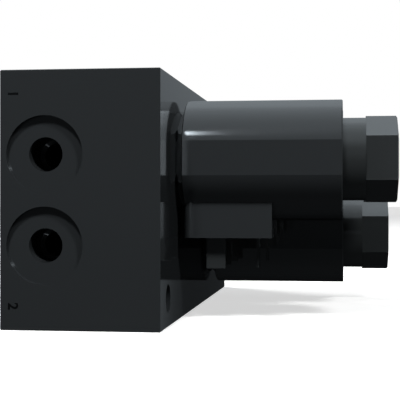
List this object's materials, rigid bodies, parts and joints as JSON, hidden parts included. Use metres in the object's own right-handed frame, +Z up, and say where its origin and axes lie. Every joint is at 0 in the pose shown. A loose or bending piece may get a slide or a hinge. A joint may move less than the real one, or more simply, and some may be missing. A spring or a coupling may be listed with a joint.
{
  "type": "solenoid valve block",
  "caption": "Drilled hydraulic manifold bar with screw-in solenoid cartridge valves, round coils with square plug bases and hex coil nuts, and threaded ports in its end faces",
  "frame": {"origin": "middle of the bar's bottom face", "axes": "+X out of the valve face along the coils, +Y along the bar away from the numbered ports, +Z up"},
  "size_m": [0.1224, 0.177, 0.08],
  "materials": {
    "bar_aluminium": "black anodised",
    "dark_steel": "black passivated",
    "inner_steel": "ground",
    "coil_plastic": "moulded, glossy",
    "bobbin_plastic": "moulded",
    "winding_wire": "enamelled copper wire",
    "dark_brass": "blackened",
    "seal_rubber": "moulded"
  },
  "bodies": {
    "block": {"valve_block": "bar_aluminium", "near_cartridge_body": "dark_steel", "near_flange_seal": "seal_rubber", "near_nose_seal": "seal_rubber", "near_guide_tube": "inner_steel", "near_pole_piece": "inner_steel", "near_return_spring": "inner_steel", "near_coil_shell": "coil_plastic", "near_yoke_cup": "inner_steel", "near_yoke_washer": "inner_steel", "near_bobbin": "bobbin_plastic", "near_winding": "winding_wire", "near_contact_pins": "dark_brass", "near_earth_pin": "dark_brass", "near_plug_insert": "dark_brass", "near_coil_nut": "dark_steel", "middle_cartridge_body": "dark_steel", "middle_flange_seal": "seal_rubber", "middle_nose_seal": "seal_rubber", "middle_guide_tube": "inner_steel", "middle_pole_piece": "inner_steel", "middle_return_spring": "inner_steel", "middle_coil_shell": "coil_plastic", "middle_yoke_cup": "inner_steel", "middle_yoke_washer": "inner_steel", "middle_bobbin": "bobbin_plastic", "middle_winding": "winding_wire", "middle_contact_pins": "dark_brass", "middle_earth_pin": "dark_brass", "middle_plug_insert": "dark_brass", "middle_coil_nut": "dark_steel", "far_cartridge_body": "dark_steel", "far_flange_seal": "seal_rubber", "far_nose_seal": "seal_rubber", "far_guide_tube": "inner_steel", "far_pole_piece": "inner_steel", "far_return_spring": "inner_steel", "far_coil_shell": "coil_plastic", "far_yoke_cup": "inner_steel", "far_yoke_washer": "inner_steel", "far_bobbin": "bobbin_plastic", "far_winding": "winding_wire", "far_contact_pins": "dark_brass", "far_earth_pin": "dark_brass", "far_plug_insert": "dark_brass", "far_coil_nut": "dark_steel"},
    "near_plunger": {"near_armature": "inner_steel", "near_poppet": "inner_steel"},
    "middle_plunger": {"middle_armature": "inner_steel", "middle_poppet": "inner_steel"},
    "far_plunger": {"far_armature": "inner_steel", "far_poppet": "inner_steel"}
  },
  "joints": [
    {"name": "near_plunger_slide", "type": "slide", "parent": "block", "child": "near_plunger", "axis": [1, 0, 0], "range_m": [0, 0.002], "stiffness_N_per_m": 2000, "springref_m": -0.004, "deforming": ["near_return_spring"]},
    {"name": "middle_plunger_slide", "type": "slide", "parent": "block", "child": "middle_plunger", "axis": [1, 0, 0], "range_m": [0, 0.002], "stiffness_N_per_m": 2000, "springref_m": -0.004, "deforming": ["middle_return_spring"]},
    {"name": "far_plunger_slide", "type": "slide", "parent": "block", "child": "far_plunger", "axis": [1, 0, 0], "range_m": [0, 0.002], "stiffness_N_per_m": 2000, "springref_m": -0.004, "deforming": ["far_return_spring"]}
  ]
}
